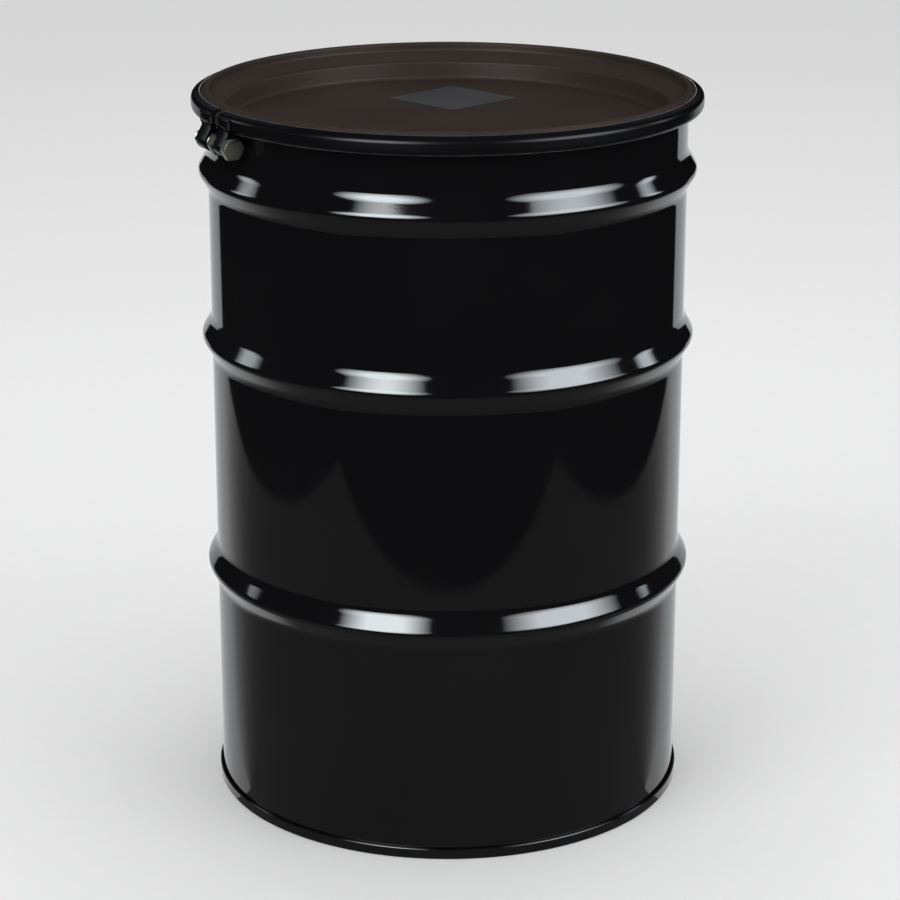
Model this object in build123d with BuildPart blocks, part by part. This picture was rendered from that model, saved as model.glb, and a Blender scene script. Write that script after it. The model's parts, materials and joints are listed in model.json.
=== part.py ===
from build123d import *
from math import cos, degrees, radians, sin
import os

# Open-head steel drum of 208 litres (55 US gallons) with a bolted closing ring.
# Millimetres, +Z up along the drum's axis, origin on the floor under the axis.
# -Y is the front. The closing bolt sits on the left of the front, under the ring.
# Every sheet-metal piece is drawn as the centre line of its section, with rounded bends,
# which is given the sheet's thickness and turned round the drum's axis.

# ---- shell ----
total_height = 876.3          # floor to the top of the cover's rim, 34.5 in
inside_radius = 285.75        # 22.5 in inside diameter
sheet = 1.2                   # shell, heads and cover, 18 gauge
wall = inside_radius + sheet / 2
bead_heights = (287.0, 576.0, 779.0)    # two rolling hoops and the bead under the ring
bead_half_width = 21.5        # where the straight flanks would meet the wall
bead_rise = 12.95             # where the straight flanks would meet each other
bead_foot_bend = 22.0
bead_crest_bend = 8.2
curl_radius = 5.0             # rolled top edge, to the middle of the sheet
curl_height = total_height - 18.0
curl_turn = 305.0             # degrees of roll

# ---- bottom double seam: five layers of sheet, with a thin film between them ----
seam_height = 13.0
film = 0.1
layer = sheet + film
hook_end_gap = 1.0            # room past the end of each hook, filled with sealant
head_floor = 16.0             # bottom head's outer ring above the floor
head_centre = 18.5            # its raised middle
head_step_radius = 232.0

# ---- cover: heights and radii of the sheet's middle ----
cover_lip_radius = 300.6
cover_lip_end = 858.4
flange_outer = 866.46         # height of the flange under the ring, at its outer corner
flange_inner = (293.9, 868.9)
rim_outer = 288.6             # outer corner of the raised rim
plug_radius = 284.0           # upper wall, just inside the rolled edge
ledge_height = 855.0
ledge_outer = 270.0
ledge_inner = 265.0
panel_radius = 262.5
panel_height = 831.5

# ---- gasket in the cover's channel ----
gasket_inner = 285.2
gasket_outer = 299.6
gasket_top = 867.6
gasket_foot = 861.2
gasket_shoulder = [(293.6, gasket_top), (297.6, 866.6), (gasket_outer, 864.2)]
seat_clearance = 0.3

# ---- blank label on the cover's panel ----
label_side = 112.0
label_thickness = 0.3
label_centre = (6.0, 138.0)

# ---- closing ring ----
ring_sheet = 2.7              # 12 gauge
ring_radius = 305.0           # outside
ring_wall = ring_radius - ring_sheet / 2
ring_lip = (294.9, 871.25)
ring_head = 868.07            # heights of the corners of its section at the outer wall
ring_foot = 853.2
ring_toe = (292.5, 850.8)
ring_gap = 14.0               # along the rim, between the ring's two ends

# ---- bolt, jam nut and lugs; "along" is the distance from the middle of the gap ----
bolt_angle = 209.5            # around the axis from +X
bolt_radius = 303.0
bolt_height = 834.5
bolt_diameter = 15.8          # 5/8 in
bolt_length = 82.5
hex_width = 23.8              # across flats, 15/16 in
head_thickness = 9.9
nut_thickness = 9.5
thread_clearance = 0.1        # on the diameter
clearance_hole = 17.5
lug_inner = 10.0
clearance_lug_outer = 36.0
threaded_lug_outer = 34.0
lug_barrel = 11.5
lug_pad_inner = 300.5
lug_pad_outer = 308.5
lug_pad_top = 868.0
lug_pad_foot = 858.5
lug_waist = (303.0, 853.5)    # where the web leaves the ring's lower bend
lug_round = 1.6
weld_leg = 3.2
weld_height = 12.0

os.makedirs("parts", exist_ok=True)


def across(along):
    """Radial plane through the drum's axis, moved along the bolt; it faces the bolt's tip."""
    angle = radians(bolt_angle)
    radial = Plane(origin=(0, 0, 0), x_dir=(cos(angle), sin(angle), 0),
                   z_dir=(sin(angle), -cos(angle), 0))
    return radial.offset(-along)


# direction of the bolt, from its head to its tip
bolt_line = Axis((0, 0, 0), across(0).z_dir)


def bead(height):
    """Corners of one outward bead of the shell, from below to above."""
    return [(wall, height - bead_half_width), (wall + bead_rise, height),
            (wall, height + bead_half_width)]


# ---- shell: body hook in the bottom seam, wall with three beads, rolled top edge ----
hook = wall + 2 * layer
hook_low = sheet / 2 + layer
hook_top = seam_height - sheet - hook_end_gap
shell_line = [(hook, hook_top), (hook, hook_low), (wall, hook_low)]
shell_bends = [1.1, 1.1]
for height in bead_heights:
    shell_line += bead(height)
    shell_bends += [bead_foot_bend, bead_crest_bend, bead_foot_bend]
shell_line.append((wall, curl_height))

with BuildPart() as drum_shell:
    with BuildSketch(Plane.XZ):
        with BuildLine():
            FilletPolyline(*shell_line, radius=shell_bends)
            CenterArc((wall + curl_radius, curl_height), curl_radius, 180, -curl_turn)
        trace(line_width=sheet)
    revolve(axis=Axis.Z)
drum_shell.part.label = "drum_shell"
export_step(drum_shell.part, "parts/drum_shell.step")

# ---- bottom head: panel, chuck wall, seaming panel and head hook ----
seam_foot = sheet / 2
seam_crown = seam_height - sheet / 2
head_line = [(0, head_centre), (head_step_radius - 4, head_centre),
             (head_step_radius, head_floor), (wall - layer, head_floor),
             (wall - layer, seam_foot), (wall + 3 * layer, seam_foot),
             (wall + 3 * layer, seam_crown), (wall + layer, seam_crown),
             (wall + layer, hook_low + sheet / 2 + hook_end_gap)]
head_bends = [5, 5, 5, 1.2, 1.2, 1.1, 1.1]

with BuildPart() as bottom_head:
    with BuildSketch(Plane.XZ):
        with BuildLine():
            FilletPolyline(*head_line, radius=head_bends)
        trace(line_width=sheet)
    revolve(axis=Axis.Z)
bottom_head.part.label = "bottom_head"
export_step(bottom_head.part, "parts/bottom_head.step")

# ---- sealant: one ring past the end of each hook ----
with BuildPart() as chime_sealant:
    with BuildSketch(Plane.XZ):
        with Locations((wall + layer, hook_low + sheet / 2 + hook_end_gap / 2),
                       (hook, hook_top + hook_end_gap / 2)):
            Rectangle(sheet - 2 * film, hook_end_gap - 2 * film)
    revolve(axis=Axis.Z)
chime_sealant.part.label = "chime_sealant"
export_step(chime_sealant.part, "parts/chime_sealant.step")

# ---- cover: outer lip, flange under the ring, raised rim, stepped wall and flat panel ----
rim = total_height - sheet / 2
cover_line = [(cover_lip_radius, cover_lip_end), (cover_lip_radius, flange_outer),
              flange_inner, (rim_outer, rim), (plug_radius, rim), (plug_radius - 0.4, 866.0),
              (ledge_outer, ledge_height), (ledge_inner, ledge_height - 0.4),
              (panel_radius, panel_height), (0, panel_height)]
cover_bends = [3.2, 3, 2.4, 2.4, 6, 5, 3, 6]

with BuildPart() as cover:
    with BuildSketch(Plane.XZ):
        with BuildLine():
            FilletPolyline(*cover_line, radius=cover_bends)
        trace(line_width=sheet)
    revolve(axis=Axis.Z)
cover.part.label = "cover"
export_step(cover.part, "parts/cover.step")

# ---- gasket: lies under the flange and saddles the rolled edge ----
with BuildPart() as cover_gasket:
    with BuildSketch(Plane.XZ):
        with BuildLine():
            Polyline((gasket_inner, gasket_foot), (gasket_inner, gasket_top), *gasket_shoulder,
                     (gasket_outer, gasket_foot), close=True)
        make_face()
        with Locations((wall + curl_radius, curl_height)):
            Circle(curl_radius + sheet / 2 + seat_clearance, mode=Mode.SUBTRACT)
    revolve(axis=Axis.Z)
cover_gasket.part.label = "cover_gasket"
export_step(cover_gasket.part, "parts/cover_gasket.step")

# ---- label: a blank square set on its point, on the panel ----
with BuildPart() as lid_label:
    with BuildSketch(Plane.XY.offset(panel_height + sheet / 2)):
        with Locations(label_centre):
            RectangleRounded(label_side, label_side, 3, rotation=45)
    extrude(amount=label_thickness)
lid_label.part.label = "lid_label"
export_step(lid_label.part, "parts/lid_label.step")

# ---- closing ring: a channel that hooks under the rolled edge and over the cover ----
ring_line = [ring_lip, (ring_wall, ring_head), (ring_wall, ring_foot), ring_toe]
ring_bends = [5.5, 5.5]
gap_angle = degrees(ring_gap / ring_radius)

with BuildPart() as closing_ring:
    with BuildSketch(Plane.XZ.rotated((0, 0, bolt_angle + gap_angle / 2))):
        with BuildLine():
            FilletPolyline(*ring_line, radius=ring_bends)
        trace(line_width=ring_sheet)
    revolve(axis=Axis.Z, revolution_arc=360 - gap_angle)
closing_ring.part.label = "closing_ring"
export_step(closing_ring.part, "parts/closing_ring.step")

# ---- filled ring section, which shapes the faces of the lugs and welds that meet it ----
with BuildPart() as ring_blank:
    with BuildSketch(Plane.XZ):
        with BuildLine() as blank_line:
            FilletPolyline(*ring_line, radius=ring_bends)
        trace(line_width=ring_sheet)
        with BuildLine():
            add(blank_line.line)
            Line(ring_line[-1], ring_line[0])
        make_face()
    revolve(axis=Axis.Z)

# ---- lugs: a pad on the ring's wall, a web below it and a barrel that the bolt passes through ----
lug_outline = [(bolt_radius - lug_barrel * 0.75, bolt_height + lug_barrel * 0.66),
               (lug_pad_inner - 2, lug_waist[1] - 2), (lug_pad_inner, lug_pad_top),
               (lug_pad_outer, lug_pad_top), (lug_pad_outer, lug_pad_foot), lug_waist,
               (bolt_radius + lug_barrel * 0.95, bolt_height + lug_barrel * 0.31)]


def lug(near, far, hole):
    """One lug from along = near to along = far, with its hole for the bolt."""
    face = across(max(near, far))
    length = abs(far - near)
    with BuildSketch(face) as outline:
        with BuildLine():
            Polyline(*lug_outline, close=True)
        make_face()
        with Locations((bolt_radius, bolt_height)):
            Circle(lug_barrel)
    with BuildSketch(face) as bolt_hole:
        with Locations((bolt_radius, bolt_height)):
            Circle(hole / 2)
    extrude(outline.sketch, amount=length)
    fillet(edges().filter_by(bolt_line).group_by(Axis.Z)[-1], lug_round)
    add(ring_blank.part, mode=Mode.SUBTRACT)
    extrude(bolt_hole.sketch, amount=length, mode=Mode.SUBTRACT)


with BuildPart() as clearance_lug:
    lug(lug_inner, clearance_lug_outer, clearance_hole)
clearance_lug.part.label = "clearance_lug"
export_step(clearance_lug.part, "parts/clearance_lug.step")

with BuildPart() as threaded_lug:
    lug(-lug_inner, -threaded_lug_outer, bolt_diameter + thread_clearance)
threaded_lug.part.label = "threaded_lug"
export_step(threaded_lug.part, "parts/threaded_lug.step")

# ---- welds: an upright bead on both sides of each lug's pad ----
weld_places = (lug_inner, clearance_lug_outer, -lug_inner, -threaded_lug_outer)
weld_foot = lug_pad_top - 2 - weld_height

with BuildPart() as lug_welds:
    for along in weld_places:
        centre = across(along).from_local_coords((ring_radius - 0.6, weld_foot, 0))
        with BuildSketch(Plane.XY.offset(weld_foot)):
            with Locations((centre.X, centre.Y)):
                Circle(weld_leg)
        extrude(amount=weld_height)
    add(ring_blank.part, mode=Mode.SUBTRACT)
    add(clearance_lug.part, mode=Mode.SUBTRACT)
    add(threaded_lug.part, mode=Mode.SUBTRACT)
lug_welds.part.label = "lug_welds"
export_step(lug_welds.part, "parts/lug_welds.step")

# ---- bolt: hexagon head against the clearance lug, shank through both lugs ----
with BuildPart() as ring_bolt:
    with BuildSketch(across(clearance_lug_outer)):
        with Locations((bolt_radius, bolt_height)):
            Circle(bolt_diameter / 2)
    extrude(amount=bolt_length)
    chamfer(ring_bolt.edges().sort_by(bolt_line)[-1], 1.5)
    with BuildSketch(across(clearance_lug_outer)):
        with Locations((bolt_radius, bolt_height)):
            RegularPolygon(hex_width / 2, 6, major_radius=False)
    extrude(amount=-head_thickness)
    chamfer(ring_bolt.faces().sort_by(bolt_line)[0].edges(), 1.0)
ring_bolt.part.label = "ring_bolt"
export_step(ring_bolt.part, "parts/ring_bolt.step")

# ---- jam nut: between the lugs, tight against the clearance lug ----
with BuildPart() as jam_nut:
    with BuildSketch(across(lug_inner)):
        with Locations((bolt_radius, bolt_height)):
            RegularPolygon(hex_width / 2, 6, major_radius=False)
            Circle((bolt_diameter + thread_clearance) / 2, mode=Mode.SUBTRACT)
    extrude(amount=nut_thickness)
    chamfer(jam_nut.faces().sort_by(bolt_line)[-1].outer_wire().edges(), 1.0)
jam_nut.part.label = "jam_nut"
export_step(jam_nut.part, "parts/jam_nut.step")
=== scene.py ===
import json
from math import atan2, cos, hypot, pi, radians, sin, tan

import bmesh
import bpy
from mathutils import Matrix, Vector


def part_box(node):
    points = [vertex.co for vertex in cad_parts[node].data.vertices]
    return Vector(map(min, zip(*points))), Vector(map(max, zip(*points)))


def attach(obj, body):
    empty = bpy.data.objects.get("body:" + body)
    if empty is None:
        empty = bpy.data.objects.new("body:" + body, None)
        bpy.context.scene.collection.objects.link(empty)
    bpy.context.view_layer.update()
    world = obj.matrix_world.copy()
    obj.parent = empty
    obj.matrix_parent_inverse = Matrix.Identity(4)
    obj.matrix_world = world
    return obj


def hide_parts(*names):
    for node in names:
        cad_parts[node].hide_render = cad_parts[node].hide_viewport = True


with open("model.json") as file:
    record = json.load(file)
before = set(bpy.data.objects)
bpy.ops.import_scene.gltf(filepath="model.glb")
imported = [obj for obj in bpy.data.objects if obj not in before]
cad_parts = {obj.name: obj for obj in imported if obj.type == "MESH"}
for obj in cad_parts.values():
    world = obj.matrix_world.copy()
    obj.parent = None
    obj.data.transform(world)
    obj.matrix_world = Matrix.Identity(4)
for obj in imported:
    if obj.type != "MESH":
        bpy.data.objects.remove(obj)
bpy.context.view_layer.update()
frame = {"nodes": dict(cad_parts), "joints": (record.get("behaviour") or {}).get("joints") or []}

# Open-head steel drum. Metres, +Z up along the drum's axis, -Y is the front.
# Sheet-metal pieces are turned from the centre line of their section, as the CAD model is.

MM = 0.001


# ---- places taken from the frame ----

def middle(node):
    low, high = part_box(node)
    return (low + high) / 2


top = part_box("cover")[1].z
ring_radius = (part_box("closing_ring")[1].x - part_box("closing_ring")[0].x) / 2
bolt_joint = next(j for j in frame["joints"] if j["name"] == "bolt_draw")
along = Vector(bolt_joint["axis"]).normalized()      # from the bolt's tip to its head
outward = Vector((-abs(along.y), -abs(along.x), 0))  # from the axis to the middle of the gap
nut_middle = middle("jam_nut")
bolt_radius = nut_middle.dot(outward)
bolt_height = nut_middle.z
bolt_angle = atan2(outward.y, outward.x)


# ---- sections and meshes ----

def rounded(points, radii, step=radians(5)):
    """Points and headings along a line whose inner corners are rounded to radii."""
    points = [Vector(p) for p in points]
    line = []

    def straight(a, b):
        heading = (b - a).normalized()
        length = (b - a).length
        stops = [0, length]
        if length > 4 * MM:
            stops = [0, 1.2 * MM, length - 1.2 * MM, length]
        line.extend((a + heading * s, heading) for s in stops)

    start = points[0]
    for before, corner, after, radius in zip(points, points[1:], points[2:], radii):
        arriving = (corner - before).normalized()
        leaving = (after - corner).normalized()
        turn = atan2(arriving.cross(leaving), arriving.dot(leaving))
        reach = radius * tan(abs(turn) / 2)
        straight(start, corner - arriving * reach)
        side = 1 if turn > 0 else -1
        centre = corner - arriving * reach + side * radius * Vector((-arriving.y, arriving.x))
        first = atan2(-side * arriving.x, side * arriving.y)
        count = max(2, round(abs(turn) / step))
        for i in range(1, count):
            angle = first + turn * i / count
            ray = Vector((cos(angle), sin(angle)))
            line.append((centre + radius * ray, side * Vector((-ray.y, ray.x))))
        start = corner + leaving * reach
    straight(start, points[-1])
    return line


def arc(centre, radius, first, turn, step=radians(9)):
    """Points and headings round part of a circle, angles in radians."""
    count = max(2, round(abs(turn) / step))
    side = 1 if turn > 0 else -1
    line = []
    for i in range(count + 1):
        angle = first + turn * i / count
        ray = Vector((cos(angle), sin(angle)))
        line.append((Vector(centre) + radius * ray, side * Vector((-ray.y, ray.x))))
    return line


def sheet_section(line, thickness, cap=True):
    """Closed outline of a bent sheet: up one face, round the edge and back down the other."""
    half = thickness / 2
    kept = [line[0]]
    for point, heading in line[1:]:
        if (point - kept[-1][0]).length > 0.02 * MM:
            kept.append((point, heading))
    left = [p + half * Vector((-h.y, h.x)) for p, h in kept]
    right = [p - half * Vector((-h.y, h.x)) for p, h in kept]

    def edge(point, heading):
        normal = Vector((-heading.y, heading.x))
        return [point + half * (0.45 * heading + 0.82 * normal),
                point + half * (0.6 * heading),
                point + half * (0.45 * heading - 0.82 * normal)]

    far = edge(*kept[-1]) if cap else []
    near = edge(kept[0][0], -kept[0][1]) if cap else []
    return left + far + right[::-1] + near


def new_mesh(name, verts, faces, material, smooth_angle=40):
    mesh = bpy.data.meshes.new(name)
    mesh.from_pydata([tuple(v) for v in verts], [], faces)
    mesh.validate()
    mesh.materials.append(material)
    piece = bpy.data.objects.new(name, mesh)
    bpy.context.scene.collection.objects.link(piece)
    mesh.shade_smooth()
    mesh.set_sharp_from_angle(angle=radians(smooth_angle))
    return piece


def lathe(name, section, material, angles, closed=True, shape=None, poles=False, smooth_angle=40):
    """Turns a section of (radius, height) points round the axis through the given angles.

    closed joins the last angle to the first; an open turn gets end faces. poles says that the
    section runs from the axis to the axis. shape(radius, height, angle) moves a point.
    """
    verts, faces = [], []
    inner = section[1:-1] if poles else section
    rows = len(inner)
    for angle in angles:
        for r, z in inner:
            if shape:
                r, z = shape(r, z, angle)
            verts.append((r * cos(angle), r * sin(angle), z))
    turns = len(angles)
    last = turns if closed else turns - 1
    joins = rows - 1 if poles else rows
    for i in range(last):
        a, b = i * rows, (i + 1) % turns * rows
        for j in range(joins):
            k = (j + 1) % rows
            faces.append((a + j, b + j, b + k, a + k))
    if poles:
        first, final = len(verts), len(verts) + 1
        verts += [(0, 0, section[0][1]), (0, 0, section[-1][1])]
        for i in range(last):
            a, b = i * rows, (i + 1) % turns * rows
            faces.append((first, b, a))
            faces.append((final, a + rows - 1, b + rows - 1))
    if not closed:
        faces.append(tuple(range(rows)))
        faces.append(tuple(reversed(range((turns - 1) * rows, turns * rows))))
    piece = new_mesh(name, verts, faces, material, smooth_angle)
    face_outward(piece)
    return piece


def face_outward(piece):
    """Turns every face of a closed mesh outward."""
    work = bmesh.new()
    work.from_mesh(piece.data)
    bmesh.ops.recalc_face_normals(work, faces=work.faces)
    work.to_mesh(piece.data)
    work.free()


def full_turn(count, offset=0.0):
    return [offset + 2 * pi * i / count for i in range(count)]


# ---- materials ----

class Nodes:
    """Short way to write a node material round one Principled shader."""

    def __init__(self, name, **constants):
        self.material = bpy.data.materials.new(name)
        self.material.use_nodes = True
        self.tree = self.material.node_tree
        self.shader = self.tree.nodes["Principled BSDF"]
        for socket, value in constants.items():
            self.shader.inputs[socket.replace("_", " ")].default_value = value
        self.coords = self.add("ShaderNodeTexCoord").outputs["Object"]

    def add(self, kind, **settings):
        node = self.tree.nodes.new(kind)
        for key, value in settings.items():
            setattr(node, key, value)
        return node

    def join(self, source, target):
        self.tree.links.new(source, target)

    def stretched(self, scale):
        node = self.add("ShaderNodeMapping")
        node.inputs["Scale"].default_value = scale
        self.join(self.coords, node.inputs["Vector"])
        return node.outputs["Vector"]

    def noise(self, scale, detail=2.0, roughness=0.5, stretch=None):
        node = self.add("ShaderNodeTexNoise")
        node.inputs["Scale"].default_value = scale
        node.inputs["Detail"].default_value = detail
        node.inputs["Roughness"].default_value = roughness
        self.join(self.stretched(stretch) if stretch else self.coords, node.inputs["Vector"])
        return node.outputs["Fac"]

    def ramp(self, source, *stops):
        """stops are (position, value or colour)."""
        node = self.add("ShaderNodeValToRGB")
        while len(node.color_ramp.elements) < len(stops):
            node.color_ramp.elements.new(0.5)
        for element, (position, value) in zip(node.color_ramp.elements, stops):
            element.position = position
            colour = (value,) * 3 if isinstance(value, (int, float)) else value
            element.color = (*colour, 1)
        self.join(source, node.inputs["Fac"])
        return node.outputs["Color"]

    def mix(self, share, a, b):
        node = self.add("ShaderNodeMix", data_type="RGBA")
        self.join(share, node.inputs["Factor"])
        for socket, value in ((node.inputs[6], a), (node.inputs[7], b)):
            if isinstance(value, tuple):
                socket.default_value = (*value, 1)
            else:
                self.join(value, socket)
        return node.outputs[2]

    def math(self, operation, a, b):
        node = self.add("ShaderNodeMath", operation=operation)
        for socket, value in zip(node.inputs, (a, b)):
            if isinstance(value, (int, float)):
                socket.default_value = value
            else:
                self.join(value, socket)
        return node.outputs[0]

    def colour(self, source):
        self.join(source, self.shader.inputs["Base Color"])

    def rough(self, source):
        self.join(source, self.shader.inputs["Roughness"])

    def bump(self, *layers):
        """layers are (height source, depth in metres)."""
        normal = None
        for source, depth in layers:
            node = self.add("ShaderNodeBump")
            node.inputs["Distance"].default_value = depth
            node.inputs["Strength"].default_value = 1.0
            self.join(source, node.inputs["Height"])
            if normal:
                self.join(normal, node.inputs["Normal"])
            normal = node.outputs["Normal"]
        self.join(normal, self.shader.inputs["Normal"])


def enamel(name, dark, light, dust):
    """Gloss black baked enamel: faint orange peel, soft uneven gloss and a little dust."""
    m = Nodes(name, Metallic=0.0, IOR=1.5, Coat_Weight=0.0)
    cloud = m.noise(6.0, 4.0, 0.6)
    grain = m.noise(900.0, 1.0)
    streak = m.noise(30.0, 5.0, 0.65, (1.0, 1.0, 0.12))
    paint = m.mix(m.ramp(cloud, (0.35, 0.0), (0.7, 1.0)), dark, light)
    specks = m.ramp(m.noise(1400.0, 2.0, 0.6), (0.70, 0.0), (0.78, 1.0))
    m.colour(m.mix(m.math("MULTIPLY", specks, dust), paint, (0.10, 0.095, 0.09)))
    gloss = m.math("ADD", m.math("MULTIPLY", streak, 0.05), m.math("MULTIPLY", cloud, 0.04))
    m.rough(m.math("ADD", gloss, 0.015))
    m.bump((m.noise(420.0, 1.5), 0.000012), (grain, 0.000004))
    return m.material


def satin(name, dark, light, speck, gloss, shine):
    """Satin coat: cloudy tone, fine grain and a little settled dust.

    speck is how much dust shows, gloss the least roughness, shine the specular level.
    """
    m = Nodes(name, Metallic=0.0, IOR=1.5, Specular_IOR_Level=shine)
    cloud = m.noise(5.0, 5.0, 0.6)
    grain = m.noise(700.0, 2.0)
    dust = m.ramp(m.noise(900.0, 3.0, 0.65), (0.66, 0.0), (0.80, 1.0))
    paint = m.mix(m.ramp(cloud, (0.32, 0.0), (0.70, 1.0)), dark, light)
    m.colour(m.mix(m.math("MULTIPLY", dust, speck), paint, (0.075, 0.068, 0.06)))
    m.rough(m.math("ADD", m.math("MULTIPLY", cloud, 0.16), gloss))
    m.bump((m.noise(300.0, 2.0), 0.00002), (grain, 0.00001))
    return m.material


def painted_highlight_strip(name):
    """Painted highlight: a pale, broken strip on a bend or a cut edge, standing in for the thin
    line of light caught there.
    """
    m = Nodes(name, Metallic=0.3, IOR=1.5, Roughness=0.45)
    highlight_patches = m.ramp(m.noise(45.0, 5.0, 0.7), (0.34, 0.25), (0.62, 1.0))
    # pale grey in patches: the painted highlight, broken into dashes
    m.colour(m.mix(highlight_patches, (0.006, 0.006, 0.007), (0.36, 0.36, 0.37)))
    m.bump((m.noise(600.0, 3.0), 0.00002),)
    return m.material


def bare_steel(name):
    """Oiled cold-rolled sheet, as the inside of an unlined drum."""
    m = Nodes(name, Metallic=0.9, IOR=1.5)
    rolling = m.noise(60.0, 6.0, 0.7, (1.0, 1.0, 0.05))
    blotch = m.noise(9.0, 5.0, 0.6)
    m.colour(m.mix(m.ramp(blotch, (0.4, 0.0), (0.65, 1.0)),
                   (0.20, 0.195, 0.185), (0.30, 0.285, 0.26)))
    m.rough(m.math("ADD", m.math("MULTIPLY", rolling, 0.22), 0.30))
    m.bump((rolling, 0.00003), (m.noise(700.0, 2.0), 0.00001))
    return m.material


def zinc_plate(name):
    """Dulled zinc plate with a faint straw tint and dark stains."""
    m = Nodes(name, Metallic=1.0, IOR=1.5)
    tint = m.noise(55.0, 3.0, 0.6)
    plate = m.mix(m.ramp(tint, (0.35, 0.0), (0.65, 1.0)), (0.085, 0.09, 0.09), (0.17, 0.16, 0.12))
    stain = m.ramp(m.noise(220.0, 4.0, 0.7), (0.60, 0.0), (0.74, 1.0))
    m.colour(m.mix(m.math("MULTIPLY", stain, 0.35), plate, (0.05, 0.047, 0.043)))
    m.rough(m.math("ADD", m.math("MULTIPLY", m.noise(500.0, 3.0), 0.24), 0.22))
    m.bump((m.noise(900.0, 3.0), 0.00003),)
    return m.material


def sponge_rubber(name):
    """Closed-cell gasket rubber."""
    m = Nodes(name, IOR=1.45)
    cells = m.noise(1100.0, 2.0, 0.6)
    m.colour(m.mix(cells, (0.018, 0.018, 0.018), (0.05, 0.05, 0.048)))
    m.rough(m.math("ADD", m.math("MULTIPLY", cells, 0.2), 0.68))
    m.bump((cells, 0.00018),)
    return m.material


def seam_sealant(name):
    """Dried sealant in the bottom seam."""
    m = Nodes(name, IOR=1.45)
    lumps = m.noise(260.0, 4.0, 0.6)
    m.colour(m.mix(lumps, (0.06, 0.052, 0.045), (0.14, 0.12, 0.10)))
    m.rough(m.math("ADD", m.math("MULTIPLY", lumps, 0.25), 0.6))
    m.bump((lumps, 0.0002),)
    return m.material


def label_vinyl(name):
    """Blank satin vinyl, a little scuffed."""
    m = Nodes(name, IOR=1.45)
    cloud = m.noise(26.0, 5.0, 0.65)
    fibre = m.noise(800.0, 2.0, 0.6)
    m.colour(m.mix(m.ramp(cloud, (0.35, 0.0), (0.7, 1.0)),
                   (0.031, 0.034, 0.037), (0.042, 0.046, 0.050)))
    m.rough(m.math("ADD", m.math("MULTIPLY", cloud, 0.2), 0.30))
    m.bump((cloud, 0.0001), (fibre, 0.00002))
    return m.material


def floor_paper(name):
    """Pale studio paper."""
    m = Nodes(name, IOR=1.45, Roughness=0.9)
    fibre = m.noise(40.0, 4.0, 0.6)
    m.colour(m.mix(fibre, (0.80, 0.80, 0.80), (0.83, 0.83, 0.825)))
    m.shader.inputs["Specular IOR Level"].default_value = 0.0
    return m.material


body_black = enamel("black_enamel", (0.0040, 0.0040, 0.0046), (0.0054, 0.0054, 0.0060), 0.10)
ring_black = satin("ring_enamel", (0.0030, 0.0030, 0.0036), (0.0050, 0.0050, 0.0056),
                   speck=0.10, gloss=0.16, shine=0.11)
cover_black = satin("cover_enamel", (0.0265, 0.0180, 0.0145), (0.0345, 0.0245, 0.0205),
                    speck=0.30, gloss=0.36, shine=0.08)
# pale strips for the ring's lip and lower bend: painted highlights
ring_highlight_strip = painted_highlight_strip("ring_painted_highlight")
inside_steel = bare_steel("inside_steel")
zinc = zinc_plate("zinc_plate")
rubber = sponge_rubber("gasket_rubber")
sealant = seam_sealant("seam_sealant")
vinyl = label_vinyl("label_vinyl")


# ---- driving sizes of the sheet-metal sections ----

sheet = 1.2 * MM
wall = 286.35 * MM
layer = sheet + 0.1 * MM
bead_heights = (287 * MM, 576 * MM, 779 * MM)
bead_half_width = 21.5 * MM
bead_rise = 12.95 * MM
curl_radius = 5.0 * MM
curl_height = top - 18.0 * MM
seam_height = 13.0 * MM
seam_angle = radians(118)        # the shell's side weld, round from +X, at the back
weld_half_width = 2.2 * MM
weld_rise = 0.25 * MM


def finish_piece(piece, body, slot, *nodes):
    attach(piece, body)
    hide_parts(*nodes)
    return piece


def two_faced(piece, inner_material, is_inner):
    """Gives the faces that is_inner picks, by centre and normal, a second material."""
    piece.data.materials.append(inner_material)
    for face in piece.data.polygons:
        if is_inner(face.center, face.normal):
            face.material_index = 1


# ---- shell ----

def uneven(r, z, angle):
    """The rolled shell is true to a few tenths of a millimetre, and its side weld stands proud."""
    fade = min(1.0, max(0.0, (z - 20 * MM) / (60 * MM)), max(0.0, (top - 30 * MM - z) / (50 * MM)))
    wave = (0.10 * sin(3 * angle + 0.7) + 0.06 * sin(7 * angle + 9 * z + 1.9)
            + 0.04 * sin(13 * angle - 14 * z) + 0.03 * sin(23 * angle + 31 * z + 0.4))
    off = abs((angle - seam_angle + pi) % (2 * pi) - pi) * r
    lift = 0.0
    if off < weld_half_width and r > wall and seam_height + 4 * MM < z < curl_height - 8 * MM:
        lift = weld_rise * (1 - (off / weld_half_width) ** 2)
    return r + fade * wave * MM + lift, z


def shell_angles():
    """Even steps all round, with finer ones across the side weld."""
    weld = [seam_angle + weld_half_width / wall * k / 3 for k in range(-4, 5)]
    even = [seam_angle + 2 * pi * i / 288 for i in range(2, 287)]
    return [weld[0] - 0.004] + weld + [weld[-1] + 0.004] + even


shell_line = [(wall + 2 * layer, 10.8 * MM), (wall + 2 * layer, 1.9 * MM), (wall, 1.9 * MM)]
shell_bends = [1.1 * MM, 1.1 * MM]
for height in bead_heights:
    shell_line += [(wall, height - bead_half_width), (wall + bead_rise, height),
                   (wall, height + bead_half_width)]
    shell_bends += [22 * MM, 8.2 * MM, 22 * MM]
shell_line.append((wall, curl_height))
shell_path = rounded(shell_line, shell_bends)
shell_path += arc((wall + curl_radius, curl_height), curl_radius, pi, -radians(305))

shell = lathe("shell", sheet_section(shell_path, sheet), body_black, shell_angles(), shape=uneven)
two_faced(shell, inside_steel,
          lambda c, n: Vector((c.x, c.y)).normalized().dot(n.xy) < -0.5
          and hypot(c.x, c.y) < wall + bead_rise and c.z < curl_height)
finish_piece(shell, "drum", "black_enamel", "drum_shell")


# ---- bottom head ----

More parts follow.
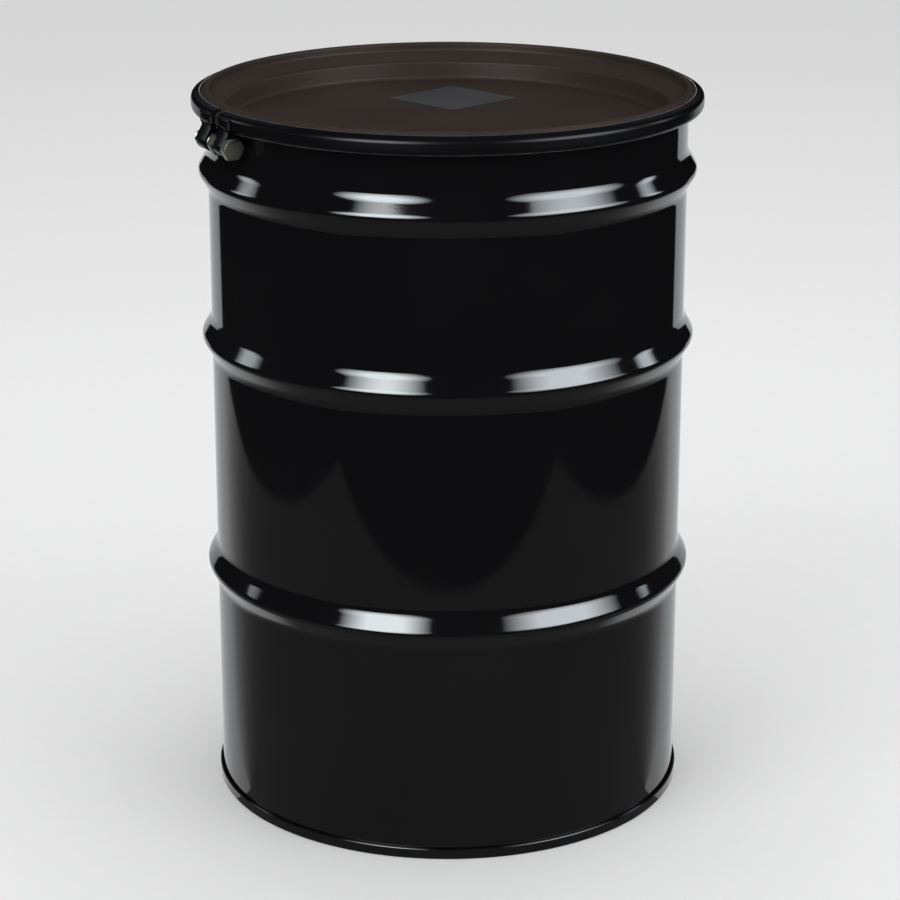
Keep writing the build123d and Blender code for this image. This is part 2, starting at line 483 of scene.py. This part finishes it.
head_path = rounded([(0, 18.5 * MM), (228 * MM, 18.5 * MM), (232 * MM, 16 * MM),
                     (wall - layer, 16 * MM), (wall - layer, 0.6 * MM),
                     (wall + 3 * layer, 0.6 * MM), (wall + 3 * layer, 12.4 * MM),
                     (wall + layer, 12.4 * MM), (wall + layer, 3.5 * MM)],
                    [5 * MM, 5 * MM, 5 * MM, 1.2 * MM, 1.2 * MM, 1.1 * MM, 1.1 * MM],
                    radians(9))
head_outline = sheet_section(head_path, sheet, cap=False)
bottom = lathe("bottom_head_pressing", head_outline, body_black, full_turn(240), poles=True)
two_faced(bottom, inside_steel, lambda c, n: n.z > 0.3 and c.z > 10 * MM and hypot(c.x, c.y) < wall)
finish_piece(bottom, "drum", "black_enamel", "bottom_head")


# ---- cover and gasket ----

rim = top - sheet / 2
plug = 284.0 * MM
panel = 831.5 * MM
cover_path = rounded([(300.6 * MM, 858.4 * MM), (300.6 * MM, 866.46 * MM),
                      (293.9 * MM, 868.9 * MM), (288.6 * MM, rim), (plug, rim),
                      (plug - 0.4 * MM, 866 * MM), (270 * MM, 855 * MM),
                      (265 * MM, 854.6 * MM), (262.5 * MM, panel), (0, panel)],
                     [3.2 * MM, 3 * MM, 2.4 * MM, 2.4 * MM, 6 * MM, 5 * MM, 3 * MM, 6 * MM],
                     radians(6))
cover_outline = sheet_section(cover_path[::-1], sheet, cap=False)
cover_piece = lathe("cover_pressing", cover_outline, cover_black, full_turn(240), poles=True)
two_faced(cover_piece, inside_steel,
          lambda c, n: n.z < -0.25 and hypot(c.x, c.y) < plug - 4 * MM)
finish_piece(cover_piece, "lid", "cover_enamel", "cover")

gasket_low, gasket_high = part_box("cover_gasket")
seat_clearance = 0.3 * MM
saddle = curl_radius + sheet / 2 + seat_clearance    # hollow that fits over the rolled edge
gasket_in, gasket_out = 285.3 * MM, gasket_high.x - 0.1 * MM
gasket_top = gasket_high.z
gasket_bevel = 1.2 * MM
gasket_outline = [(gasket_out, 864.1 * MM), (297.6 * MM, 866.5 * MM), (293.4 * MM, gasket_top),
                  (gasket_in + gasket_bevel, gasket_top),
                  (gasket_in, gasket_top - gasket_bevel), (gasket_in, gasket_low.z)]
saddle_steps = 12
for i in range(saddle_steps + 1):
    angle = radians(150 - i * 130 / saddle_steps)
    height = curl_height + saddle * sin(angle)
    if height > gasket_low.z:
        gasket_outline.append((wall + curl_radius + saddle * cos(angle), height))
gasket_outline.append((gasket_out - 0.7 * MM, gasket_low.z))
gasket = lathe("gasket_ring", gasket_outline, rubber, full_turn(192), smooth_angle=50)
finish_piece(gasket, "lid", "gasket_rubber", "cover_gasket")


# ---- label ----

def label_piece():
    """A thin square on its point with rounded corners, very slightly cockled."""
    low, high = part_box("lid_label")
    centre = (low + high) / 2
    half = (high.x - low.x) / 2 / 2 ** 0.5 + 1.0 * MM
    corner = 3 * MM
    count = 28
    verts, faces = [], []
    for layer_height in (high.z - 0.05 * MM, low.z):
        for i in range(count + 1):
            for j in range(count + 1):
                u, v = (2 * i / count - 1) * half, (2 * j / count - 1) * half
                du, dv = abs(u) - (half - corner), abs(v) - (half - corner)
                if du > 0 and dv > 0 and hypot(du, dv) > corner:
                    shrink = corner / hypot(du, dv)
                    u = (half - corner + du * shrink) * (1 if u > 0 else -1)
                    v = (half - corner + dv * shrink) * (1 if v > 0 else -1)
                x, y = (u - v) / 2 ** 0.5, (u + v) / 2 ** 0.5
                cockle = 0.05 * MM * sin(60 * x + 1) * sin(75 * y) if layer_height > low.z else 0
                verts.append((centre.x + x, centre.y + y, layer_height - abs(cockle)))
    side = count + 1
    base = side * side
    for i in range(count):
        for j in range(count):
            a = i * side + j
            faces.append((a, a + side, a + side + 1, a + 1))
            faces.append((base + a, base + a + 1, base + a + side + 1, base + a + side))
    rim = ([i * side for i in range(side)] + [count * side + j for j in range(1, side)]
           + [i * side + count for i in range(count - 1, -1, -1)]
           + [j for j in range(count - 1, 0, -1)])
    for a, b in zip(rim, rim[1:] + rim[:1]):
        faces.append((a, a + base, b + base, b))
    piece = new_mesh("cover_label", verts, faces, vinyl)
    face_outward(piece)
    return piece


finish_piece(label_piece(), "lid", "label_vinyl", "lid_label")


# ---- closing ring ----

ring_sheet = 2.7 * MM
ring_wall = ring_radius - ring_sheet / 2
ring_gap = 14 * MM
ring_bend = 5.5 * MM
lip_radius = 294.9 * MM          # inner edge of the ring's upper flange
ring_path = rounded([(lip_radius, 871.25 * MM), (ring_wall, 868.07 * MM),
                     (ring_wall, 853.2 * MM), (292.5 * MM, 850.8 * MM)],
                    [ring_bend, ring_bend], radians(6))
half_gap = ring_gap / ring_radius / 2
ring_angles = [bolt_angle + half_gap + (2 * pi - 2 * half_gap) * i / 288 for i in range(289)]
ring = lathe("ring_channel", sheet_section(ring_path, ring_sheet), ring_black, ring_angles,
             closed=False)
# The lip's cut edge and the lower bend get pale strips: painted highlights for the thin lines of
# light along those edges.
painted_highlight_lip = lip_radius + 0.9 * MM
lower_bend = ring_radius - 3.2 * MM
two_faced(ring, ring_highlight_strip,
          lambda c, n: (hypot(c.x, c.y) < painted_highlight_lip and c.z > 868 * MM and n.z > 0.2)
          or (abs(hypot(c.x, c.y) - lower_bend) < 0.4 * MM and n.z < -0.5))
finish_piece(ring, "ring", "ring_enamel", "closing_ring")


# ---- lugs: lengths are along the bolt from the middle of the ring's gap ----

thread_pitch = 25.4 / 11 * MM
bolt_reach = 7.9 * MM            # outer radius of the thread and the shank
thread_bore = 7.95 * MM
clearance_bore = 8.75 * MM
gap_half = 10 * MM
front_end = 36 * MM
rear_end = -34 * MM
barrel = 11.5 * MM               # outer radius of a lug round the bolt


def place(radial, height, offset):
    """Point at a distance from the axis, a height and a distance along the bolt."""
    point = outward * radial + along * offset
    return (point.x, point.y, height)


def inset(outline, depth):
    """A closed outline moved inward by depth, corner by corner."""
    moved = []
    count = len(outline)
    for i, point in enumerate(outline):
        before, after = outline[i - 1], outline[(i + 1) % count]
        heading = (Vector(after) - Vector(before)).normalized()
        moved.append(Vector(point) + depth * Vector((-heading.y, heading.x)))
    return moved


def lug_outline():
    """Side view of a lug about the bolt's axis: barrel below, pad on the ring's wall above."""
    corners = [(bolt_radius - barrel * 0.75, bolt_height + barrel * 0.66),
               (298.5 * MM, 850.5 * MM), (301.5 * MM, 852.4 * MM), (303.8 * MM, 855 * MM),
               (303.8 * MM, 867.9 * MM), (308.5 * MM, 867.9 * MM), (308.5 * MM, 858.5 * MM),
               (304.9 * MM, 853.6 * MM),
               (bolt_radius + barrel * 0.95, bolt_height + barrel * 0.31)]
    bends = [1.5 * MM, 0.6 * MM, 0.6 * MM, 0.6 * MM, 1.8 * MM, 3 * MM, 3 * MM]
    path = [p for p, h in rounded(corners, bends, radians(12))]
    first = atan2(corners[-1][1] - bolt_height, corners[-1][0] - bolt_radius)
    last = atan2(corners[0][1] - bolt_height, corners[0][0] - bolt_radius)
    turn = (last - first) % (2 * pi) - 2 * pi
    count = 30
    for i in range(1, count):
        angle = first + turn * i / count
        path.append(Vector((bolt_radius + barrel * cos(angle), bolt_height + barrel * sin(angle))))
    kept = []
    for p in path:
        if not kept or (p - kept[-1]).length > 0.1 * MM:
            kept.append(p)
    area = sum(a.x * b.y - b.x * a.y for a, b in zip(kept, kept[1:] + kept[:1]))
    return kept if area > 0 else kept[::-1]


def lug_piece(name, low, high, hole, threaded):
    """A forging between two distances along the bolt, with a bolt hole and eased edges."""
    outline = lug_outline()
    ease = 1.1 * MM
    rings = []
    for k in range(4):
        angle = pi / 2 * k / 3
        rings.append((low + ease * (1 - sin(angle)), ease * (1 - cos(angle))))
    rings = rings[::-1]
    sections = [(offset, inset(outline, depth)) for offset, depth in rings]
    sections += [(low + high - offset, inset(outline, depth)) for offset, depth in rings[::-1]]
    verts, faces = [], []
    count = len(outline)
    for offset, points in sections:
        verts += [place(p[0], p[1], offset) for p in points]
    for k in range(len(sections) - 1):
        for i in range(count):
            j = (i + 1) % count
            faces.append((k * count + i, k * count + j, (k + 1) * count + j, (k + 1) * count + i))
    # bore: straight, or with the turns of a thread
    turns = 1 if not threaded else int((high - low) / (thread_pitch / 2))
    bore = [(low, hole + 0.8 * MM), (low + 0.8 * MM, hole)]
    for k in range(1, turns):
        groove = 0.55 * MM if threaded and k % 2 else 0.0
        bore.append((low + (high - low) * k / turns, hole + groove))
    bore += [(high - 0.8 * MM, hole), (high, hole + 0.8 * MM)]
    base = len(verts)
    directions = [atan2(p[1] - bolt_height, p[0] - bolt_radius) for p in sections[0][1]]
    for offset, radius in bore:
        verts += [place(bolt_radius + radius * cos(a), bolt_height + radius * sin(a), offset)
                  for a in directions]
    for k in range(len(bore) - 1):
        for i in range(count):
            j = (i + 1) % count
            faces.append((base + k * count + i, base + (k + 1) * count + i,
                          base + (k + 1) * count + j, base + k * count + j))
    final = (len(sections) - 1) * count
    far_bore = base + (len(bore) - 1) * count
    for i in range(count):
        j = (i + 1) % count
        faces.append((i, base + i, base + j, j))
        faces.append((final + i, final + j, far_bore + j, far_bore + i))
    piece = new_mesh(name, verts, faces, ring_black, 35)
    face_outward(piece)
    return piece


finish_piece(lug_piece("front_lug", gap_half, front_end, clearance_bore, False),
             "ring", "ring_enamel", "clearance_lug")
finish_piece(lug_piece("rear_lug", rear_end, -gap_half, thread_bore, True),
             "ring", "ring_enamel", "threaded_lug")


# ---- weld beads ----

def weld_beads():
    """Upright beads at the sides of both lugs' pads, with the ripples of a hand weld."""
    verts, faces = [], []
    around, steps = 16, 34
    foot, head = 854.5 * MM, 865.5 * MM
    for offset in (gap_half, front_end, -gap_half, rear_end):
        base = len(verts)
        lean = 0.35 * MM * (1 if offset > 0 else -1)
        for k in range(steps + 1):
            share = k / steps
            height = foot + (head - foot) * share
            round_end = min(1.0, (1 - abs(2 * share - 1)) * 5) ** 0.5
            ripple = 0.28 * MM * abs(sin(pi * 6 * share))
            radius = (2.7 * MM + ripple) * max(0.05, round_end)
            for i in range(around):
                angle = 2 * pi * i / around
                sag = 0.5 * MM * cos(angle)
                verts.append(place(ring_radius - 0.5 * MM + radius * cos(angle),
                                   height - sag, offset + lean + radius * sin(angle)))
        for k in range(steps):
            for i in range(around):
                j = (i + 1) % around
                a, b = base + k * around, base + (k + 1) * around
                faces.append((a + i, a + j, b + j, b + i))
        faces.append(tuple(base + i for i in reversed(range(around))))
        faces.append(tuple(base + steps * around + i for i in range(around)))
    piece = new_mesh("weld_beads", verts, faces, ring_black, 60)
    face_outward(piece)
    return piece


finish_piece(weld_beads(), "ring", "ring_enamel", "lug_welds")


# ---- bolt and nut ----

hex_width = 23.8 * MM            # across flats
hex_corner = 0.5 * MM
head_thickness = 9.9 * MM
bolt_length = 82.5 * MM
shank_end = 14 * MM              # where the thread starts
thread_depth = 1.15 * MM
bolt_point = 1.4 * MM            # length of the cone at the tip
shank_steps = 40


def hexagon(across_flats, corner):
    """Outline of a hexagon with slightly rounded corners, about its centre."""
    outline = []
    tip = across_flats / 3 ** 0.5
    centre = tip - corner * 2 / 3 ** 0.5
    for k in range(6):
        mid = pi / 3 * k
        for i in range(5):
            angle = mid - pi / 6 + pi / 3 * i / 4
            outline.append(Vector((centre * cos(mid) + corner * cos(angle),
                                   centre * sin(mid) + corner * sin(angle))))
        after = pi / 3 * (k + 1)
        a = outline[-1]
        b = Vector((centre * cos(after) + corner * cos(after - pi / 6),
                    centre * sin(after) + corner * sin(after - pi / 6)))
        outline += [a.lerp(b, t / 8) for t in range(1, 8)]
    return outline


def hexagon_rings(seat, crown, across_flats):
    """Rings of points for a hexagon turned to a cone at its crown end, from seat to crown."""
    outline = hexagon(across_flats, hex_corner)
    facing = 1 if crown > seat else -1
    flat = across_flats / 2 * 0.94
    rings = []

    def ring(height, points):
        rings.append([(p.x, p.y, height) for p in points])

    ring(seat, [p.normalized() * (across_flats / 2 * 0.93) for p in outline])
    rings.append([(p.x, p.y, seat + facing * 0.4 * MM) for p in outline])
    rings.append([(p.x, p.y, crown - facing * max(0.25 * MM, (p.length - flat) * tan(radians(30))))
                  for p in outline])
    ring(crown, [p.normalized() * flat for p in outline])
    return rings


def screw(first, last, tip):
    """Rings along a right-hand thread from first to last, in line with the helix."""
    rings = []
    rows = int(abs(last - first) / (thread_pitch / 6)) + 8
    for k in range(-6, rows):
        points = []
        for i in range(shank_steps):
            angle = 2 * pi * i / shank_steps
            run = k / 6 + i / shank_steps
            offset = first - run * thread_pitch
            phase = run % 1.0
            profile = abs(2 * phase - 1)
            fade = min(1.0, max(0.0, (first - offset) / (2 * thread_pitch)))
            radius = bolt_reach - thread_depth * min(1.0, 1.25 * profile) * fade
            clipped = min(first, max(last, offset))
            if clipped - last < tip:
                radius = min(radius, bolt_reach - (tip - (clipped - last)))
            points.append((radius * cos(angle), radius * sin(angle), clipped))
        rings.append(points)
    return rings


def skin(rings, close_start=True, close_end=True):
    """Faces that join rings of equal count, with flat ends."""
    count = len(rings[0])
    faces = []
    for k in range(len(rings) - 1):
        for i in range(count):
            j = (i + 1) % count
            faces.append((k * count + i, k * count + j, (k + 1) * count + j, (k + 1) * count + i))
    if close_start:
        faces.append(tuple(range(count)))
    if close_end:
        faces.append(tuple(reversed(range((len(rings) - 1) * count, len(rings) * count))))
    return faces


def on_bolt(ring):
    """Local (x, y, distance along the bolt) to the row frame."""
    return [place(bolt_radius + x, bolt_height + y, offset) for x, y, offset in ring]


def bolt_piece():
    head = hexagon_rings(front_end + 0.05 * MM, front_end + head_thickness, hex_width)
    verts = [v for ring in head for v in on_bolt(ring)]
    faces = skin(head)
    shank = [[(bolt_reach * cos(angle), bolt_reach * sin(angle), offset)
              for angle in full_turn(shank_steps)]
             for offset in (front_end + 1 * MM, shank_end)]
    shank += screw(shank_end, front_end - bolt_length, bolt_point)
    base = len(verts)
    verts += [v for ring in shank for v in on_bolt(ring)]
    faces += [tuple(base + i for i in face) for face in skin(shank)]
    piece = new_mesh("hex_bolt", verts, faces, zinc, 32)
    face_outward(piece)
    return piece


def nut_piece():
    low, high = 0.5 * MM, gap_half
    outer = hexagon_rings((low + high) / 2, high, hex_width)[2:]
    lower = [[(x, y, low + high - z) for x, y, z in ring] for ring in outer][::-1]
    outline = hexagon(hex_width, hex_corner)
    flare, flare_depth = 8.9 * MM, 0.9 * MM
    hole = []
    for offset, radius in ((high, flare), (high - flare_depth, thread_bore),
                           (low + flare_depth, thread_bore), (low, flare)):
        hole.append([(p.normalized().x * radius, p.normalized().y * radius, offset)
                     for p in outline])
    rings = lower + outer + hole
    count = len(outline)
    faces = skin(rings, False, False)
    last = (len(rings) - 1) * count
    faces += [(last + i, last + (i + 1) % count, (i + 1) % count, i) for i in range(count)]
    verts = [v for ring in rings for v in on_bolt(ring)]
    piece = new_mesh("lock_nut", verts, faces, zinc, 32)
    face_outward(piece)
    return piece


finish_piece(bolt_piece(), "bolt", "zinc_plate", "ring_bolt")
finish_piece(nut_piece(), "nut", "zinc_plate", "jam_nut")

# ---- carried-over CAD node ----
frame["nodes"]["chime_sealant"].data.materials.clear()
frame["nodes"]["chime_sealant"].data.materials.append(sealant)


# ---- stage ----

def plane(name, corners, material):
    piece = new_mesh(name, corners, [tuple(range(len(corners)))], material)
    return piece


def glow(name, colour, strength, soft=False):
    """Emission for a stage panel; soft fades it from the middle to the edges."""
    material = bpy.data.materials.new(name)
    material.use_nodes = True
    tree = material.node_tree
    tree.nodes.clear()
    shader = tree.nodes.new("ShaderNodeEmission")
    shader.inputs["Color"].default_value = (*colour, 1)
    shader.inputs["Strength"].default_value = strength
    if soft:
        coords = tree.nodes.new("ShaderNodeTexCoord")
        spot = tree.nodes.new("ShaderNodeMapping")
        spot.inputs["Location"].default_value = (-0.5, -0.5, -0.5)
        fall = tree.nodes.new("ShaderNodeTexGradient")
        fall.gradient_type = "SPHERICAL"
        shape = tree.nodes.new("ShaderNodeValToRGB")
        shape.color_ramp.elements[0].position = 0.30
        shape.color_ramp.elements[1].position = 0.75
        power = tree.nodes.new("ShaderNodeMath")
        power.operation = "MULTIPLY"
        power.inputs[1].default_value = strength
        tree.links.new(coords.outputs["Generated"], spot.inputs["Vector"])
        tree.links.new(spot.outputs["Vector"], fall.inputs["Vector"])
        tree.links.new(fall.outputs["Fac"], shape.inputs["Fac"])
        tree.links.new(shape.outputs["Color"], power.inputs[0])
        tree.links.new(power.outputs[0], shader.inputs["Strength"])
    out = tree.nodes.new("ShaderNodeOutputMaterial")
    tree.links.new(shader.outputs[0], out.inputs["Surface"])
    return material


def seen_only_in_gloss(piece):
    piece.visible_camera = False
    piece.visible_diffuse = False
    piece.visible_shadow = False
    piece.visible_transmission = False
    piece.visible_volume_scatter = False


floor = plane("floor", [(-40, -40, 0), (40, -40, 0), (40, 40, 0), (-40, 40, 0)],
              floor_paper("floor_paper"))
floor.visible_glossy = False


def paper_glow():
    """Paper as the gloss sees it: dim in front, brighter round the drum's sides."""
    material = glow("front_glow", (1, 1, 1), 1.0)
    tree = material.node_tree
    shader = tree.nodes["Emission"]

    def maths(operation, *values):
        node = tree.nodes.new("ShaderNodeMath")
        node.operation = operation
        for socket, value in zip(node.inputs, values):
            if isinstance(value, float):
                socket.default_value = value
            else:
                tree.links.new(value, socket)
        return node.outputs[0]

    coords = tree.nodes.new("ShaderNodeTexCoord")
    parts = tree.nodes.new("ShaderNodeSeparateXYZ")
    tree.links.new(coords.outputs["Object"], parts.inputs[0])
    aside = maths("SUBTRACT", maths("ABSOLUTE", parts.outputs[0]), 0.3)
    angle = maths("ARCTAN2", maths("ADD", parts.outputs[1], 0.12), aside)
    share = maths("DIVIDE", angle, pi / 2)
    ramp = tree.nodes.new("ShaderNodeValToRGB")
    stops = ((0.10, 0.13), (0.25, 0.17), (0.36, 0.26), (0.48, 0.46), (0.58, 0.72))
    while len(ramp.color_ramp.elements) < len(stops):
        ramp.color_ramp.elements.new(0.5)
    for element, (position, value) in zip(ramp.color_ramp.elements, stops):
        element.position = position
        element.color = (value, value, value, 1)
    tree.links.new(share, ramp.inputs["Fac"])
    tree.links.new(ramp.outputs["Color"], shader.inputs["Strength"])
    return material


# The papers that the gloss sees lie just below the floor, which gloss rays pass through.
front_edge = [(-1.33, -1.14), (0, -1.18), (1.33, -1.14), (1.42, -0.28), (1.52, 0.6), (1.6, 1.58),
              (0.38, -0.02), (-0.38, -0.02), (-1.6, 1.58), (-1.52, 0.6), (-1.42, -0.28)]
seen_only_in_gloss(plane("front_paper", [(x, y, -0.002) for x, y in front_edge], paper_glow()))
back_edge = [(-0.38, -0.02), (0.38, -0.02), (2.0, 2.1), (7.0, 8.65), (-7.0, 8.65), (-2.0, 2.1)]
seen_only_in_gloss(plane("back_paper", [(x, y, -0.003) for x, y in back_edge],
                         glow("back_glow", (0.95, 0.98, 1.0), 0.74)))


def softbox(name, start, end, low, high, distance, strength, colour=(1, 1, 1), soft=True):
    """Upright panel that spans azimuths start to end (degrees, left of the front is negative)
    and elevations low to high, seen from the drum's middle."""
    middle_azimuth = radians((start + end) / 2)
    half = radians(abs(end - start) / 2)
    facing = Vector((sin(middle_azimuth), -cos(middle_azimuth), 0))
    side = Vector((facing.y, -facing.x, 0))
    width = distance * tan(half)
    z_low = 0.7 + distance * tan(radians(low))
    z_high = 0.7 + distance * tan(radians(high))
    corners = [facing * distance + side * s * width + Vector((0, 0, z))
               for s, z in ((-1, z_low), (1, z_low), (1, z_high), (-1, z_high))]
    piece = plane(name, corners, glow(name + "_glow", colour, strength, soft))
    seen_only_in_gloss(piece)
    return piece


softbox("left_softbox", -55, -7, 3, 46, 3.6, 20, (0.90, 0.96, 1.0))
softbox("right_softbox", 26, 90, 3, 44, 3.2, 14, (0.90, 0.95, 1.0))
softbox("left_edge_strip", -114, -97, 8, 26, 3.4, 5, (0.90, 0.96, 1.0))
softbox("right_edge_strip", 98, 112, 8, 26, 3.4, 7, (0.85, 0.93, 1.0))
softbox("high_back", 150, 210, 14, 46, 4.0, 0.15, (0.90, 0.95, 1.0))

for name, spot, size, power in (("key_light", (-2.2, -2.6, 3.4), 2.4, 45),
                                ("fill_light", (2.6, -1.6, 3.0), 2.4, 25),
                                ("top_light", (0.3, 1.4, 4.2), 3.0, 30)):
    data = bpy.data.lights.new(name, "AREA")
    data.shape = "SQUARE"
    data.size = size
    data.energy = power
    lamp = bpy.data.objects.new(name, data)
    lamp.location = spot
    lamp.rotation_euler = (Vector((0, 0, 0.4)) - Vector(spot)).to_track_quat("-Z", "Y").to_euler()
    lamp.visible_glossy = False
    lamp.visible_camera = False
    bpy.context.scene.collection.objects.link(lamp)

world = bpy.data.worlds.new("studio")
bpy.context.scene.world = world
world.use_nodes = True
tree = world.node_tree
tree.nodes.clear()
path = tree.nodes.new("ShaderNodeLightPath")
# white room for diffuse light, dark to the gloss, and the far floor's tone to the camera
seen = tree.nodes.new("ShaderNodeMix")
seen.data_type = "RGBA"
seen.inputs[6].default_value = (0.78, 0.78, 0.79, 1)
seen.inputs[7].default_value = (0.004, 0.004, 0.004, 1)
tree.links.new(path.outputs["Is Glossy Ray"], seen.inputs["Factor"])
shown = tree.nodes.new("ShaderNodeMix")
shown.data_type = "RGBA"
shown.inputs[7].default_value = (0.636, 0.636, 0.64, 1)
tree.links.new(seen.outputs[2], shown.inputs[6])
tree.links.new(path.outputs["Is Camera Ray"], shown.inputs["Factor"])
back = tree.nodes.new("ShaderNodeBackground")
tree.links.new(shown.outputs[2], back.inputs["Color"])
out = tree.nodes.new("ShaderNodeOutputWorld")
tree.links.new(back.outputs[0], out.inputs["Surface"])
bpy.context.scene.view_settings.view_transform = "Standard"

# ---- camera ----
camera_data = bpy.data.cameras.new("camera")
camera_data.sensor_width = 36.0
camera_data.lens = 111.1
camera_data.shift_x = 0.0026
camera = bpy.data.objects.new("camera", camera_data)
camera.location = (0, -3.277, 1.4847)
camera.rotation_euler = (pi / 2 - 0.315, 0, 0)
bpy.context.scene.collection.objects.link(camera)
bpy.context.scene.camera = camera
